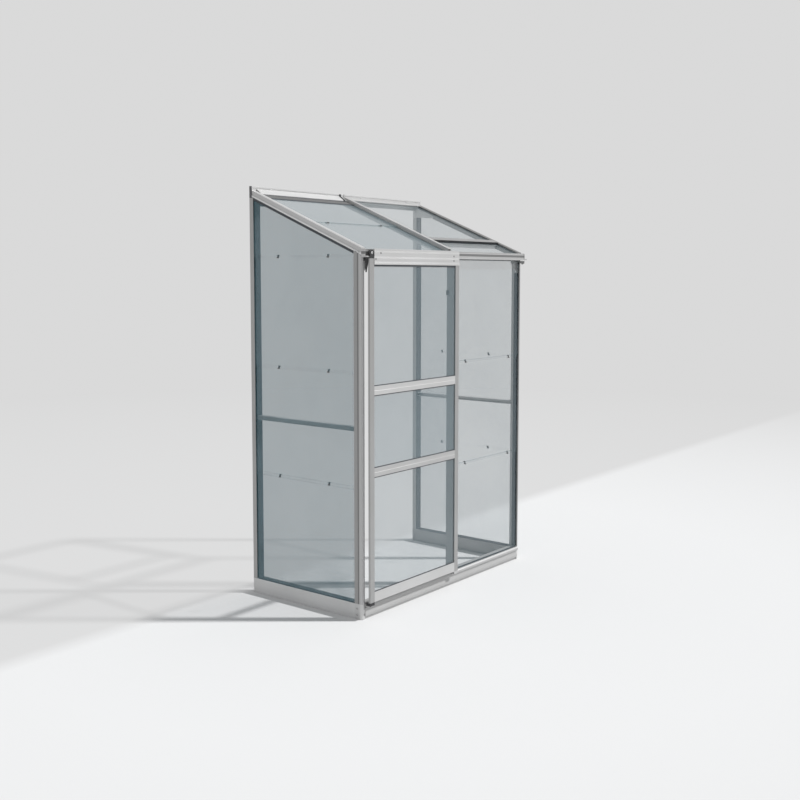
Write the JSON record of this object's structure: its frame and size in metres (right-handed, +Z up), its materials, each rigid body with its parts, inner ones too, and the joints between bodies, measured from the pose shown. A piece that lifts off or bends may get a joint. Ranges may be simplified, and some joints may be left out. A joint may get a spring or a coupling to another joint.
{
  "type": "lean-to greenhouse",
  "caption": "Small lean-to greenhouse with aluminium profiles, glass gables and roof, a sliding door on rollers and a hinged roof vent with a stay.",
  "frame": {"origin": "middle of the footprint's bounding box, on the ground", "axes": "+X along the wall to the right, +Y towards the wall, +Z up; the door and the gutter face -Y"},
  "size_m": [1.32, 0.728, 1.9578],
  "materials": {
    "aluminium": "anodised satin",
    "dark_metal": "black powder coat",
    "steel": "zinc plated",
    "glass": "clear float",
    "rubber": "matt",
    "plastic": "moulded",
    "nylon": "turned nylon"
  },
  "bodies": {
    "frame": {"sill_front": "aluminium", "sill_left": "aluminium", "sill_right": "aluminium", "base_corner_left": "aluminium", "base_corner_right": "aluminium", "corner_post_left": "aluminium", "corner_post_right": "aluminium", "wall_post_left": "aluminium", "wall_post_right": "aluminium", "door_mullion": "aluminium", "gable_rail_left": "aluminium", "gable_rail_right": "aluminium", "rafter_left": "aluminium", "rafter_right": "aluminium", "roof_bar": "aluminium", "ridge_bar_left": "aluminium", "ridge_bar_right": "aluminium", "gutter": "aluminium", "gutter_caps": "aluminium", "vent_sill": "aluminium", "ridge_gussets": "aluminium", "eave_gussets": "aluminium", "frame_bolts": "steel", "lap_clips": "steel", "gable_panes_left": "glass", "gable_panes_right": "glass", "gable_top_pane_left": "glass", "gable_top_pane_right": "glass", "front_panes": "glass", "roof_panes": "glass", "roof_pane_eave": "glass", "glazing_seal_left": "rubber", "glazing_seal_right": "rubber", "glazing_seal_front": "rubber", "glazing_seal_roof": "rubber", "draught_seal": "rubber", "ridge_joiner": "plastic", "door_stops": "plastic"},
    "door": {"door_stile_left": "aluminium", "door_stile_right": "aluminium", "door_rail_upper": "aluminium", "door_rail_lower": "aluminium", "door_rail_bottom": "aluminium", "door_top_plate": "aluminium", "door_pane_top": "glass", "door_pane_middle": "glass", "door_pane_bottom": "glass", "door_seal": "rubber", "door_glides": "plastic", "door_hangers": "plastic", "wheel_axles": "steel"},
    "left_wheel": {"door_wheel_left": "nylon"},
    "right_wheel": {"door_wheel_right": "nylon"},
    "vent": {"vent_hinge_rail": "aluminium", "vent_side_left": "aluminium", "vent_side_right": "aluminium", "vent_bottom_rail": "dark_metal", "vent_pane": "glass", "stay_bolt": "steel"},
    "stay": {"vent_stay": "aluminium"}
  },
  "joints": [
    {"name": "door_slide", "type": "slide", "parent": "frame", "child": "door", "axis": [1, 0, 0], "range_m": [0, 0.6]},
    {"name": "left_wheel_roll", "type": "hinge", "parent": "door", "child": "left_wheel", "pos_m": [-0.6295, -0.356, 1.6363], "axis": [0, 1, 0], "range_deg": [0, 2650]},
    {"name": "right_wheel_roll", "type": "hinge", "parent": "door", "child": "right_wheel", "pos_m": [0.0175, -0.356, 1.6363], "axis": [0, 1, 0], "range_deg": [0, 2650]},
    {"name": "vent_hinge", "type": "hinge", "parent": "frame", "child": "vent", "pos_m": [0.32, 0.3503, 1.93213], "axis": [-1, 0, 0], "range_deg": [0, 26]},
    {"name": "stay_pivot", "type": "hinge", "parent": "vent", "child": "stay", "pos_m": [0.329, -0.15134, 1.70075], "axis": [0, -0.8054, -0.5928], "range_deg": [0, 85.5]}
  ],
  "couplings": [
    {"joint": "left_wheel_roll", "follows": "door_slide", "rad_per_m": 76.923},
    {"joint": "right_wheel_roll", "follows": "door_slide", "rad_per_m": 76.923},
    {"joint": "stay_pivot", "follows": "vent_hinge", "ratio": 3.2692}
  ]
}
